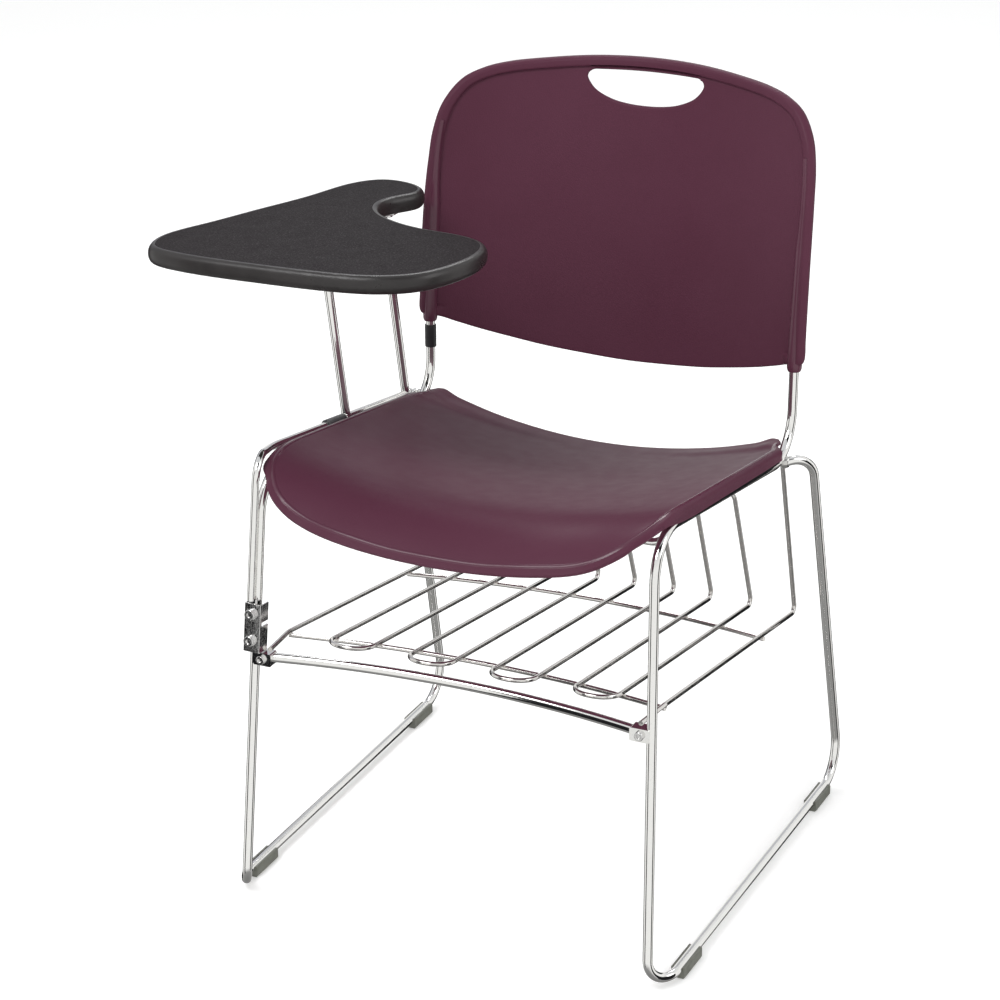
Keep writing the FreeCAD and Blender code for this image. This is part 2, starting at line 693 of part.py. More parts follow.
# handle cut-out with a round-ended smile shape
hz = 781.0
hc = [V(-66, 0, 778.2), V(-62, 0, 783.8), V(-54, 0, 785.4)]
top_l = V(-54, 0, 785.4)
top_r = V(54, 0, 785.4)
arc_l = Part.Arc(V(-67.5, 0, 777.0), V(-64.3, 0, 783.2), top_l).toShape()
arc_r = Part.Arc(top_r, V(64.3, 0, 783.2), V(67.5, 0, 777.0)).toShape()
low = Part.BSplineCurve()
low.interpolate([V(67.5, 0, 777.0), V(57.0, 0, 764.0), V(38.0, 0, 755.0), V(0, 0, 750.5), V(-38.0, 0, 755.0),
                 V(-57.0, 0, 764.0), V(-67.5, 0, 777.0)])
top_line = Part.Arc(top_l, V(0, 0, 786.6), top_r).toShape()
hw = Part.Wire(Part.__sortEdges__([arc_l, top_line, arc_r, low.toShape()]))
hole = Part.Face(hw).extrude(V(0, 400, 0))
hole.translate(V(0, 60, 0))
back = back.cut(hole)
for s in (1, -1):
    a = V(*side_points(s)[0])
    b = V(*side_points(s)[1])
    top_end = a + unit(a - b) * 0.5
    w = path_wire([tuple(top_end), tuple(b), tuple(upright_at(485.0, s))], [140.0])
    back = back.cut(sweep_round(w, R + 0.06))
back = max(back.Solids, key=lambda q: q.Volume)

# retaining screws through the rear of the sockets, screwed up against the rods
bscrews = []
for s in (1, -1):
    p = V(s * 213.68, 171.6, 541.0)
    direction = unit(V(0, 1.0, -0.108))
    hole = Part.makeCylinder(2.05, 30, p + direction * 5.1, direction)
    scr = placed(fastener(7.0, 2.4, 4.0, 3.2, 0.7), tuple(p + direction * 8.4), tuple(direction))
    back = back.cut(hole).cut(scr)
    bscrews.append(scr)
back = max(back.Solids, key=lambda q: q.Volume)
feature("backrest_shell", back)
feature("backrest_screws", Part.makeCompound(bscrews))

# dark sleeve pushed up the sitter's right upright, below its socket
body = ring_body("upright_sleeve", "dims.sleeve_od", "dims.rod_d + 0.1", "dims.sleeve_len",
                 FreeCAD.Placement(upright_at(481.0, -1), frame_for(upright_at(505.0, -1) - upright_at(485.0, -1))))

# ------------------------------------------------------- fixed tablet rod
arm = rod(ROD_PTS, ROD_R, TR)
# its lower end is flattened to lie between the bracket and the leg
strap = Part.makeBox(9.6, 5.3, 56.2, V(-6.2, -R - 5.33, 0.8))
for hh in BR_H:
    strap = strap.cut(Part.makeCylinder(2.7, 30, V(0, -20, hh), V(0, 1, 0)))
strap.Placement = BR_PLACE
arm = arm.fuse(strap)
feature("tablet_frame_rod", max(arm.Solids, key=lambda q: q.Volume))

# collar and tube on the hinge line
rot = frame_for(adir)
ring_body("tablet_collar", "dims.collar_od", "dims.tabrod_d + 0.06", "dims.collar_len",
          FreeCAD.Placement(ax_pt(-52.5), rot))
ring_body("tablet_hinge_tube", "dims.tube_od", "dims.tube_bore", "dims.tube_len",
          FreeCAD.Placement(ax_pt(-14.2), rot))
# thrust washer fixed on the rod behind the tube
ring_body("tablet_rear_stop", "dims.tube_od + 1.4", "dims.tabrod_d + 0.06", "dims.stop_len",
          FreeCAD.Placement(ax_pt(136.2), rot))

# ------------------------------------------------------- tablet supports
TZ = D("tablet_z")
TU = TZ - D("tablet_t") - D("laminate_t")     # underside of the board
PT = D("plate_t")
SR = D("support_d") / 2.0
lean = (-0.081, -0.056)
sup_tops = {}
for tag, y in (("front", -7.4), ("rear", 130.4)):
    c = ax_pt(y)
    height = TU - PT - c.z
    topp = V(c.x + lean[0] * height, c.y + lean[1] * height, TU - PT)
    sup_tops[tag] = topp
    wire = Part.Wire([Part.makeLine(c, topp)])
    s1 = sweep_round(wire, SR)
    s1 = s1.common(Part.makeBox(200, 400, TU - PT, V(AX - 100, -200, 0)))
    s1 = s1.cut(Part.makeCylinder(D("tube_od") / 2 - 0.25, 600, c - adir * 300, adir))
    s1 = max(s1.Solids, key=lambda q: q.Volume)
    feature("tablet_support_" + tag, s1)

# ------------------------------------------------------- writing tablet
OUT = [(-369.5, -152.5), (-376.6, -122.5), (-358.6, -63.0), (-334.6, 4.0), (-308.4, 77.5), (-281.6, 150.0),
       (-266.6, 162.3), (-230.4, 162.6), (-205.4, 145.4), (-200.2, 126.8), (-209.1, 107.4), (-218.9, 86.5),
       (-216.0, 61.7), (-196.8, 37.5), (-164.5, 19.1), (-133.6, 10.5), (-81.3, 2.5), (-53.8, -15.1),
       (-42.3, -48.7), (-48.0, -96.7), (-68.0, -137.9), (-103.6, -162.5), (-150.4, -172.8), (-238.6, -176.8),
       (-333.1, -172.4)]


def tablet_face(inset, z):
    base = Part.BSplineCurve()
    base.interpolate([V(x, y, 0) for x, y in OUT], PeriodicFlag=True)
    a, b = base.FirstParameter, base.LastParameter
    n = 120
    pts = []
    for k in range(n):
        u = a + (b - a) * k / n
        p = base.value(u)
        t = base.tangent(u)[0]
        inward = V(-t.y, t.x, 0)
        if not CCW:
            inward = inward * -1
        pts.append(V(p.x + inward.x * inset, p.y + inward.y * inset, z))
    c = Part.BSplineCurve()
    c.interpolate(pts, PeriodicFlag=True)
    return Part.Face(Part.Wire(c.toShape()))


area2 = sum(OUT[k][0] * OUT[(k + 1) % len(OUT)][1] - OUT[(k + 1) % len(OUT)][0] * OUT[k][1] for k in range(len(OUT)))
CCW = area2 > 0
BAND = D("band_t")
LT = D("laminate_t")
core = tablet_face(BAND, TU).extrude(V(0, 0, D("tablet_t")))
top = tablet_face(BAND, TU + D("tablet_t")).extrude(V(0, 0, LT))
# bullnose edging: a stack of outlines on a half-round profile
HT = (D("tablet_t") + LT) / 2.0
wires = []
for q in (-1.0, -0.93, -0.78, -0.5, 0.0, 0.5, 0.78, 0.93, 1.0):
    inset = (BAND - 0.7) * (1.0 - math.sqrt(max(0.0, 1.0 - abs(q) ** 2.3)))
    wires.append(tablet_face(inset, TU + HT + HT * q).OuterWire)
band = Part.makeLoft(wires, True, False)
band = band.cut(tablet_face(BAND, TU - 1).extrude(V(0, 0, 2 * HT + 2)))
band = max(band.Solids, key=lambda q: q.Volume)

# mounting plates between the supports and the board, four screws in each
plates, tscrews = [], []
for tag in ("front", "rear"):
    c = sup_tops[tag]
    body = new_body("tablet_plate_" + tag)
    sk = new_sketch(body, body.Name + "_sk")
    hx, hy, q = 21.0, 21.0, 6.0
    add_poly(sk, [(-hx + q, -hy), (hx - q, -hy), (hx, -hy + q), (hx, hy - q), (hx - q, hy), (-hx + q, hy),
                  (-hx, hy - q), (-hx, -hy + q)])
    for sx in (-1, 1):
        for sy in (-1, 1):
            add_circle(sk, sx * 14.0, sy * 14.0, "dims.bolt_d - 0.6")
    pad(body, sk, body.Name + "_pad", "dims.plate_t")
    off = V(c.x, c.y, TU - PT)
    if tag == "rear":
        off = V(c.x + 2.0, c.y + 0.0, TU - PT)
    body.Placement = FreeCAD.Placement(off, FreeCAD.Rotation())
    PARTS.append(body)
    for sx in (-1, 1):
        for sy in (-1, 1):
            p = V(off.x + sx * 14.0, off.y + sy * 14.0, TU - PT)
            scr = placed(fastener(8.0, 2.4, 4.2, PT + 11.0, 0.7), tuple(p), (0, 0, -1))
            core = core.cut(Part.makeCylinder(2.15, 11.1, V(p.x, p.y, TU), V(0, 0, 1)))
            tscrews.append(scr)
core = max(core.Solids, key=lambda q: q.Volume)
feature("tablet_core", core)
feature("tablet_laminate", top)
feature("tablet_edge_band", band)
feature("tablet_plate_screws", Part.makeCompound(tscrews))

# ------------------------------------------------------- tablet rod bracket
# channel over the rod's flattened lower end and the front of the leg
place = BR_PLACE
org = BR_PLACE.Base
rotb = BR_ROT
body = new_body("tablet_bracket")
sk = new_sketch(body, "tablet_bracket_sk")
bw, bd, bt = D("bracket_w"), D("bracket_d"), D("bracket_t")
x0, x1 = -7.6, -7.6 + bw
y0 = -R - 5.36 - bt
y1 = y0 + bd
add_poly(sk, [(x0, y1), (x0, y0), (x1, y0), (x1, y1), (x1 - bt, y1), (x1 - bt, y0 + bt), (x0 + bt, y0 + bt), (x0 + bt, y1)])
pd = pad(body, sk, "tablet_bracket_pad", "dims.bracket_len")
doc.recompute()
sk2 = new_sketch(body, "tablet_bracket_holes", "XZ_Plane")
h1, h2 = BR_H
add_circle(sk2, 0, h1, "dims.bolt_d + 0.3")
add_circle(sk2, 0, h2, "dims.bolt_d + 0.3")
pk = body.newObject("PartDesign::Pocket", "tablet_bracket_pocket")
pk.Profile = sk2
pk.Type = 0
pk.Length = 60
pk.Midplane = True
# slot in the sitter's-left wall
sk3 = new_sketch(body, "tablet_bracket_slot", "YZ_Plane")
add_poly(sk3, [(-R - 3.2, 28.0), (y1 + 3, 28.0), (y1 + 3, 32.4), (-R - 3.2, 32.4)])
pk2 = body.newObject("PartDesign::Pocket", "tablet_bracket_slot_pocket")
pk2.Profile = sk3
pk2.Type = 0
pk2.Length = 30
pk2.Reversed = True
body.Placement = place
doc.recompute()
full = bw * bt + 2 * (bd - bt) * bt
if body.Shape.Volume > full * D("bracket_len") - 60:
    pk2.Reversed = False
    doc.recompute()
PARTS.append(body)
# the rod is crushed flat where it enters the channel
rod_obj = [q for q in PARTS if q.Label == "tablet_frame_rod"][0]
rod_obj.Shape = max(rod_obj.Shape.cut(body.Shape).Solids, key=lambda q: q.Volume)

bolts, nuts, washers = [], [], []
fwd = rotb.multVec(V(0, -1, 0))
for hh in (h1, h2):
    face = place.multVec(V(0, y0, hh))
    washers.append(placed(Part.makeCylinder(D("washer_d") / 2, D("washer_t")).cut(
        Part.makeCylinder(2.7, 5, V(0, 0, -2))), tuple(face), tuple(fwd)))
    head = face + fwd * D("washer_t")
    bolts.append(placed(fastener(D("bolt_head_d"), D("bolt_head_h"), D("bolt_d"), 24.5), tuple(head), tuple(fwd)))
    rear = place.multVec(V(0, R + 0.02, hh))
    nuts.append(placed(hex_nut(D("nut_af"), D("nut_h"), D("bolt_d") + 0.1), tuple(rear), tuple(-fwd)))
feature("tablet_bracket_bolts", Part.makeCompound(bolts))
feature("tablet_bracket_washers", Part.makeCompound(washers))
feature("tablet_bracket_nuts", Part.makeCompound(nuts))

# ------------------------------------------------------- check and write
doc.recompute()
bad = []
for obj in doc.Objects:
    state = [str(s) for s in obj.State]
    if "Invalid" in state or "Error" in state:
        bad.append("%s state %s" % (obj.Label, state))
for obj in PARTS:
    sh = obj.Shape
    if sh.isNull() or not sh.isValid():
        bad.append(obj.Label + " has a bad shape")
    elif not sh.Solids or min(q.Volume for q in sh.Solids) <= 0:
        bad.append(obj.Label + " has no solid")
if bad:
    raise RuntimeError("; ".join(bad))
os.makedirs("parts", exist_ok=True)
for name in os.listdir("parts"):
    if name.endswith(".step"):
        os.remove(os.path.join("parts", name))
for obj in PARTS:
    obj.Shape.exportStep(os.path.join("parts", obj.Label + ".step"))
    bb = obj.Shape.BoundBox
    print("%-28s solids %2d vol %10.1f  x %7.1f..%7.1f y %7.1f..%7.1f z %7.1f..%7.1f" % (
        obj.Label, len(obj.Shape.Solids), obj.Shape.Volume, bb.XMin, bb.XMax, bb.YMin, bb.YMax, bb.ZMin, bb.ZMax))
print("wrote", len(PARTS), "parts")
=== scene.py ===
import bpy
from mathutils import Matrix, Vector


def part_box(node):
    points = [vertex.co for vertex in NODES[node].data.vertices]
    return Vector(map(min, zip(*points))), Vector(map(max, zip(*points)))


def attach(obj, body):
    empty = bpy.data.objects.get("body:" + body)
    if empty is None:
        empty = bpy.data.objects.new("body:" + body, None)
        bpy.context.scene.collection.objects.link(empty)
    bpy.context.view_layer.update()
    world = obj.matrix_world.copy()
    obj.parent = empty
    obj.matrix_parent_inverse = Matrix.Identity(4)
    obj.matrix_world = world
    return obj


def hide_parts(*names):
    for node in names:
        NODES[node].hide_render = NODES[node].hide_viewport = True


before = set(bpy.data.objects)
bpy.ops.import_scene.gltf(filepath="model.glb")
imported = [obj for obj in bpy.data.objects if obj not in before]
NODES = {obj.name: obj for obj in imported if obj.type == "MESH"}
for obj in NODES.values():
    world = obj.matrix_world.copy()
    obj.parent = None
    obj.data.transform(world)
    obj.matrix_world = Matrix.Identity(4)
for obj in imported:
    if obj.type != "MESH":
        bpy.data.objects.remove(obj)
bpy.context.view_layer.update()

import math
import random

import bpy
import bmesh
from mathutils import Matrix, Vector, noise
from mathutils.bvhtree import BVHTree

scene = bpy.context.scene
random.seed(11)


# ------------------------------------------------------------------ camera
def make_camera():
    a, e, r = math.radians(25.627), math.radians(22.097), math.radians(-0.704)
    back = Vector((math.sin(a) * math.cos(e), -math.cos(a) * math.cos(e), math.sin(e)))
    right = Vector((math.cos(a), math.sin(a), 0.0))
    up = back.cross(right)
    rr = math.cos(r) * right + math.sin(r) * up
    uu = -math.sin(r) * right + math.cos(r) * up
    cam = bpy.data.cameras.new("studio_camera")
    cam.sensor_fit = "HORIZONTAL"
    cam.sensor_width = 36.0
    cam.lens = 98.505
    cam.clip_start, cam.clip_end = 0.05, 60.0
    obj = bpy.data.objects.new("studio_camera", cam)
    scene.collection.objects.link(obj)
    m = Matrix.Identity(4)
    for i in range(3):
        m[i][0], m[i][1], m[i][2] = rr[i], uu[i], back[i]
    m[0][3], m[1][3], m[2][3] = 1.105632, -2.408114, 1.469141
    obj.matrix_world = m
    scene.camera = obj


make_camera()


# --------------------------------------------------------------- materials
def lin(c):
    out = []
    for v in c:
        v /= 255.0
        out.append(v / 12.92 if v <= 0.04045 else ((v + 0.055) / 1.055) ** 2.4)
    return (out[0], out[1], out[2], 1.0)


class Mat:
    """Short calls for building a node material."""

    def __init__(self, name):
        self.m = bpy.data.materials.new(name)
        self.m.use_nodes = True
        self.t = self.m.node_tree
        self.t.nodes.clear()
        self.out = self.t.nodes.new("ShaderNodeOutputMaterial")
        self.b = self.t.nodes.new("ShaderNodeBsdfPrincipled")
        self.t.links.new(self.b.outputs[0], self.out.inputs[0])
        c = self.t.nodes.new("ShaderNodeTexCoord")
        self.pos = c.outputs["Object"]

    def link(self, a, b):
        self.t.links.new(a, b)

    def set(self, **kw):
        for k, v in kw.items():
            name = k.replace("_", " ")
            name = {"IOR": "IOR"}.get(name, name)
            self.b.inputs[name].default_value = v

    def noise(self, scale, detail=3.0, rough=0.5, stretch=None, distort=0.0):
        n = self.t.nodes.new("ShaderNodeTexNoise")
        n.inputs["Scale"].default_value = scale
        n.inputs["Detail"].default_value = detail
        n.inputs["Roughness"].default_value = rough
        n.inputs["Distortion"].default_value = distort
        src = self.pos
        if stretch:
            mp = self.t.nodes.new("ShaderNodeMapping")
            mp.inputs["Scale"].default_value = stretch
            self.link(self.pos, mp.inputs["Vector"])
            src = mp.outputs[0]
        self.link(src, n.inputs["Vector"])
        return n.outputs["Fac"]

    def voronoi(self, scale, feature="F1", rand=1.0):
        n = self.t.nodes.new("ShaderNodeTexVoronoi")
        n.feature = feature
        n.inputs["Scale"].default_value = scale
        n.inputs["Randomness"].default_value = rand
        self.link(self.pos, n.inputs["Vector"])
        return n.outputs["Distance"]

    def ramp(self, src, stops):
        r = self.t.nodes.new("ShaderNodeValToRGB")
        els = r.color_ramp.elements
        els[0].position, els[0].color = stops[0][0], stops[0][1]
        els[1].position, els[1].color = stops[-1][0], stops[-1][1]
        for p, c in stops[1:-1]:
            e = els.new(p)
            e.color = c
        self.link(src, r.inputs[0])
        return r.outputs[0]

    def maprange(self, src, a, b, c, d):
        r = self.t.nodes.new("ShaderNodeMapRange")
        for i, v in enumerate((a, b, c, d)):
            r.inputs[i + 1].default_value = v
        self.link(src, r.inputs[0])
        return r.outputs[0]

    def math(self, op, a, b):
        n = self.t.nodes.new("ShaderNodeMath")
        n.operation = op
        for i, v in enumerate((a, b)):
            if isinstance(v, (int, float)):
                n.inputs[i].default_value = v
            else:
                self.link(v, n.inputs[i])
        return n.outputs[0]

    def mix(self, fac, a, b):
        n = self.t.nodes.new("ShaderNodeMix")
        n.data_type = "RGBA"
        self.link(fac, n.inputs["Factor"]) if not isinstance(fac, float) else None
        if isinstance(fac, float):
            n.inputs["Factor"].default_value = fac
        for sock, v in ((6, a), (7, b)):
            if isinstance(v, tuple):
                n.inputs[sock].default_value = v
            else:
                self.link(v, n.inputs[sock])
        return n.outputs[2]

    def bump(self, height, strength, distance, below=None):
        n = self.t.nodes.new("ShaderNodeBump")
        n.inputs["Strength"].default_value = strength
        n.inputs["Distance"].default_value = distance
        self.link(height, n.inputs["Height"])
        if below is not None:
            self.link(below, n.inputs["Normal"])
        return n.outputs[0]


def shell_plastic(name, rim=False):
    """Injection-moulded maroon plastic: a fine leather grain and a soft sheen, or the polished rim."""
    m = Mat(name)
    base, deep, pale = (0.0935, 0.0285, 0.0500, 1), (0.0895, 0.0265, 0.0470, 1), (0.0980, 0.0305, 0.0530, 1)
    tone = m.ramp(m.noise(9.0, 3.0), [(0.3, deep), (0.5, base), (0.75, pale)])
    scuff = m.ramp(m.noise(70.0, 6.0, 0.7, (1.0, 2.6, 1.0), 0.6), [(0.66, (0, 0, 0, 1)), (0.78, (1, 1, 1, 1))])
    col = m.mix(m.math("MULTIPLY", scuff, 0.10), tone, (0.16, 0.075, 0.095, 1))
    m.link(col, m.b.inputs["Base Color"])
    m.set(IOR=1.45)
    m.b.inputs["Specular IOR Level"].default_value = 0.11
    rough = m.maprange(m.noise(60.0, 4.0), 0.3, 0.7, 0.19 if rim else 0.36, 0.25 if rim else 0.41)
    rough = m.math("ADD", rough, m.math("MULTIPLY", scuff, 0.08))
    m.link(rough, m.b.inputs["Roughness"])
    if rim:
        m.b.inputs["Specular IOR Level"].default_value = 0.5
    wave = m.bump(m.noise(9.0, 1.0), 0.010, 0.0010)
    grain = m.bump(m.voronoi(620.0), 0.04 if rim else 0.42, 0.00016, wave)
    fine = m.bump(m.noise(1500.0, 2.0), 0.04 if rim else 0.20, 0.00010, grain)
    m.link(fine, m.b.inputs["Normal"])
    return m.m


def chrome(name, tint=(0.93, 0.925, 0.91, 1), lo=0.035, hi=0.11, wave=0.16):
    """Bright chrome plate: clear reflections, faint waviness of the drawn rod and hazy patches."""
    m = Mat(name)
    haze = m.noise(38.0, 5.0, 0.6)
    pits = m.ramp(m.noise(520.0, 3.0, 0.6), [(0.62, (0, 0, 0, 1)), (0.74, (1, 1, 1, 1))])
    col = m.mix(m.math("MULTIPLY", pits, 0.22), tint, (0.46, 0.45, 0.44, 1))
    m.link(col, m.b.inputs["Base Color"])
    m.set(Metallic=1.0)
    m.link(m.maprange(haze, 0.35, 0.7, lo, hi), m.b.inputs["Roughness"])
    w = m.bump(m.noise(46.0, 2.0, 0.5), wave, 0.0007)
    n = m.bump(m.noise(900.0, 2.0), 0.05, 0.00005, w)
    m.link(n, m.b.inputs["Normal"])
    return m.m


def zinc(name):
    """Zinc-plated pressed steel: dull bright metal with a brushed grain and soft blotches."""
    m = Mat(name)
    blot = m.noise(180.0, 5.0, 0.65)
    col = m.ramp(blot, [(0.3, (0.62, 0.61, 0.61, 1)), (0.7, (0.93, 0.93, 0.92, 1))])
    m.link(col, m.b.inputs["Base Color"])
    m.set(Metallic=1.0)
    m.link(m.maprange(m.noise(420.0, 4.0), 0.3, 0.7, 0.07, 0.20), m.b.inputs["Roughness"])
    m.link(m.bump(m.noise(700.0, 4.0, 0.6, (1, 1, 0.15)), 0.22, 0.00012), m.b.inputs["Normal"])
    return m.m


def dark_plastic(name, c0=(0.013, 0.012, 0.015, 1), c1=(0.022, 0.020, 0.024, 1)):
    """Charcoal moulded plastic, faintly streaked, rubbed lighter in places."""
    m = Mat(name)
    col = m.ramp(m.noise(120.0, 4.0), [(0.3, c0), (0.7, c1)])
    m.link(col, m.b.inputs["Base Color"])
    m.link(m.maprange(m.noise(240.0, 3.0), 0.3, 0.7, 0.32, 0.5), m.b.inputs["Roughness"])
    m.link(m.bump(m.noise(1300.0, 2.0), 0.2, 0.00010), m.b.inputs["Normal"])
    return m.m


def laminate(name):
    """High-pressure laminate: near-black grey with a pebbled suede finish and tiny flecks."""
    m = Mat(name)
    fleck = m.ramp(m.noise(560.0, 3.0, 0.7), [(0.35, (0.0085, 0.0062, 0.0072, 1)), (0.54, (0.0170, 0.0135, 0.0150, 1)),
                                                (0.70, (0.052, 0.045, 0.048, 1))])
    broad = m.ramp(m.noise(6.0, 3.0), [(0.3, (0.94, 0.94, 0.94, 1)), (0.7, (1.05, 1.05, 1.05, 1))])
    mul = m.t.nodes.new("ShaderNodeMix")
    mul.data_type = "RGBA"
    mul.blend_type = "MULTIPLY"
    mul.inputs["Factor"].default_value = 1.0
    m.link(fleck, mul.inputs[6])
    m.link(broad, mul.inputs[7])
    m.link(mul.outputs[2], m.b.inputs["Base Color"])
    m.set(IOR=1.42)
    m.b.inputs["Specular IOR Level"].default_value = 0.08
    m.link(m.maprange(m.noise(60.0, 5.0), 0.3, 0.7, 0.53, 0.58), m.b.inputs["Roughness"])
    a = m.bump(m.voronoi(620.0), 0.50, 0.00018)
    b = m.bump(m.noise(1500.0, 3.0), 0.35, 0.00010, a)
    m.link(b, m.b.inputs["Normal"])
    return m.m


def edging(name):
    """Extruded vinyl bullnose: satin, charcoal with a warm cast, fine lines along its length."""
    m = Mat(name)
    col = m.ramp(m.noise(28.0, 4.0), [(0.3, (0.021, 0.0185, 0.0185, 1)), (0.7, (0.031, 0.0275, 0.0275, 1))])
    rub = m.ramp(m.noise(110.0, 6.0, 0.7), [(0.70, (0, 0, 0, 1)), (0.80, (1, 1, 1, 1))])
    m.link(m.mix(m.math("MULTIPLY", rub, 0.22), col, (0.10, 0.10, 0.095, 1)), m.b.inputs["Base Color"])
    m.link(m.maprange(m.noise(60.0, 3.0), 0.3, 0.7, 0.27, 0.36), m.b.inputs["Roughness"])
    m.b.inputs["Specular IOR Level"].default_value = 0.42
    a = m.bump(m.noise(20.0, 2.0), 0.12, 0.0010)
    m.link(m.bump(m.noise(700.0, 2.0, 0.5, (1, 1, 6.0)), 0.12, 0.00008, a), m.b.inputs["Normal"])
    return m.m


def board(name):
    """Particle board: tan chips pressed together."""
    m = Mat(name)
    v = m.voronoi(420.0)
    col = m.ramp(v, [(0.05, (0.20, 0.12, 0.06, 1)), (0.35, (0.42, 0.28, 0.15, 1)), (0.8, (0.58, 0.42, 0.25, 1))])
    # the underside carries a dark backing sheet
    sep = m.t.nodes.new("ShaderNodeSeparateXYZ")
    tc = m.t.nodes.new("ShaderNodeTexCoord")
    m.link(tc.outputs["Normal"], sep.inputs[0])
    under = m.math("LESS_THAN", sep.outputs["Z"], -0.6)
    sheet = m.ramp(m.noise(300.0, 4.0), [(0.3, (0.020, 0.019, 0.019, 1)), (0.7, (0.035, 0.033, 0.032, 1))])
    m.link(m.mix(under, col, sheet), m.b.inputs["Base Color"])
    m.set(Roughness=0.85)
    m.link(m.bump(v, 0.6, 0.0004), m.b.inputs["Normal"])
    return m.m


def glide_plastic(name):
    """Hazy grey nylon, scratched dull where it slides on the floor."""
    m = Mat(name)
    col = m.ramp(m.noise(90.0, 4.0), [(0.3, (0.19, 0.195, 0.165, 1)), (0.7, (0.26, 0.265, 0.23, 1))])
    m.link(col, m.b.inputs["Base Color"])
    m.link(m.maprange(m.noise(300.0, 5.0), 0.3, 0.7, 0.30, 0.55), m.b.inputs["Roughness"])
    m.b.inputs["Subsurface Weight"].default_value = 0.25
    m.b.inputs["Subsurface Radius"].default_value = (0.004, 0.004, 0.0035)
    m.b.inputs["Transmission Weight"].default_value = 0.35
    m.link(m.bump(m.noise(600.0, 4.0, 0.6, (1, 4, 1)), 0.3, 0.00012), m.b.inputs["Normal"])
    return m.m


MATS = {
    "maroon_plastic": shell_plastic("maroon_shell"),
    "maroon_rim": shell_plastic("maroon_rim", True),
    "chrome_rod": chrome("chrome_plate"),
    "wire": chrome("chrome_wire", (0.79, 0.77, 0.75, 1), 0.07, 0.18, 0.10),
    "zinc_steel": zinc("zinc_plate"),
    "dark_plastic": dark_plastic("collar_plastic"),
    "grey_collar": dark_plastic("collar_grey", (0.060, 0.060, 0.064, 1), (0.105, 0.105, 0.110, 1)),
    "charcoal_laminate": laminate("tablet_laminate_finish"),
    "charcoal_edging": edging("tablet_edging_finish"),
    "particle_board": board("particle_board_core"),
    "grey_glide": glide_plastic("glide_nylon"),
    "weld": chrome("plated_weld", (0.66, 0.65, 0.63, 1), 0.14, 0.34, 0.5),
}

ASSIGN = {
    "maroon_plastic": ["seat_shell", "backrest_shell"],
    "wire": ["basket_"],
    "zinc_steel": ["tablet_bracket", "crossbar_bolts", "crossbar_nuts", "seat_screws", "backrest_screws", "tablet_plate",
                   "tablet_rear_stop"],
    "grey_collar": ["tablet_collar"],
    "dark_plastic": ["upright_sleeve", "seat_mount_pads"],
    "charcoal_laminate": ["tablet_laminate"],
    "charcoal_edging": ["tablet_edge_band"],
    "particle_board": ["tablet_core"],
    "grey_glide": ["glide_"],
    "weld": ["rear_leg_welds"],
}


def finish_for(name):
    for key, starts in ASSIGN.items():
        if any(name.startswith(s) for s in starts):
            return key
    return "chrome_rod"


def dress(obj, mat):
    obj.data.materials.clear()
    obj.data.materials.append(mat)


SHARP = {"tablet_bracket": 0.0005, "tablet_plate_front": 0.0004, "tablet_plate_rear": 0.0004, "crossbar_clamp_left": 0.0005,
         "crossbar_clamp_right": 0.0005, "tablet_bracket_nuts": 0.0003, "tablet_bracket_washers": 0.0002,
         "tablet_bracket_bolts": 0.00025, "crossbar_bolts": 0.00025, "crossbar_nuts": 0.0003, "upright_sleeve": 0.0006,
         "tablet_collar": 0.0005, "tablet_hinge_tube": 0.0005, "tablet_rear_stop": 0.0003,
         "glide_front_left": 0.0008, "glide_front_right": 0.0008, "glide_rear_left": 0.0008, "glide_rear_right": 0.0008,
         "backrest_shell": 0.0007}

for name, obj in NODES.items():
    dress(obj, MATS[finish_for(name)])
    me = obj.data
    weld = obj.modifiers.new("weld", "WELD")
    weld.merge_threshold = 0.00001
    if name in SHARP:
        bev = obj.modifiers.new("soft_edge", "BEVEL")
        bev.width = SHARP[name]
        bev.segments = 3
        bev.limit_method = "ANGLE"
        bev.angle_limit = math.radians(48.0)
        bev.use_clamp_overlap = True
        bev.harden_normals = False
    for layer in [a.name for a in me.attributes if a.name == "custom_normal"]:
        me.attributes.remove(me.attributes[layer])
    for edge in me.edges:
        edge.use_edge_sharp = False
    me.shade_smooth()
    split = obj.modifiers.new("crease", "EDGE_SPLIT")
    split.split_angle = math.radians(36.0)
    split.use_edge_sharp = False
    flat = obj.modifiers.new("face_normals", "WEIGHTED_NORMAL")
    flat.mode = "FACE_AREA_WITH_ANGLE"
    flat.weight = 50


# ------------------------------------------------------------ moulded backrest
# A finer skin for the backrest: a tubular bead round the top and both sides, a
# groove inside it, a crowned panel, a rounded handle hole and the two sockets.
YC = ((430.0, 212.0), (477.0, 219.0), (520.0, 226.5), (580.0, 236.5), (640.0, 248.0), (700.0, 260.0),
      (745.0, 269.0), (800.0, 280.0), (840.0, 288.0))
YE = ((430.0, 160.0), (477.0, 161.5), (520.0, 164.0), (580.0, 168.8), (640.0, 176.3), (700.0, 187.5),
      (745.0, 198.0), (800.0, 212.0), (840.0, 223.0))


def spline_table(rows, z):
    """Smooth curve through a table of (z, y)."""
    i = 0
    while i < len(rows) - 2 and z > rows[i + 1][0]:
        i += 1
    p0 = rows[max(0, i - 1)]
    p1, p2 = rows[i], rows[i + 1]
    p3 = rows[min(len(rows) - 1, i + 2)]
    t = (z - p1[0]) / (p2[0] - p1[0])
    m1 = (p2[1] - p0[1]) / (p2[0] - p0[0]) * (p2[0] - p1[0])
    m2 = (p3[1] - p1[1]) / (p3[0] - p1[0]) * (p2[0] - p1[0])
    t2, t3 = t * t, t * t * t
    return (2 * t3 - 3 * t2 + 1) * p1[1] + (t3 - 2 * t2 + t) * m1 + (-2 * t3 + 3 * t2) * p2[1] + (t3 - t2) * m2


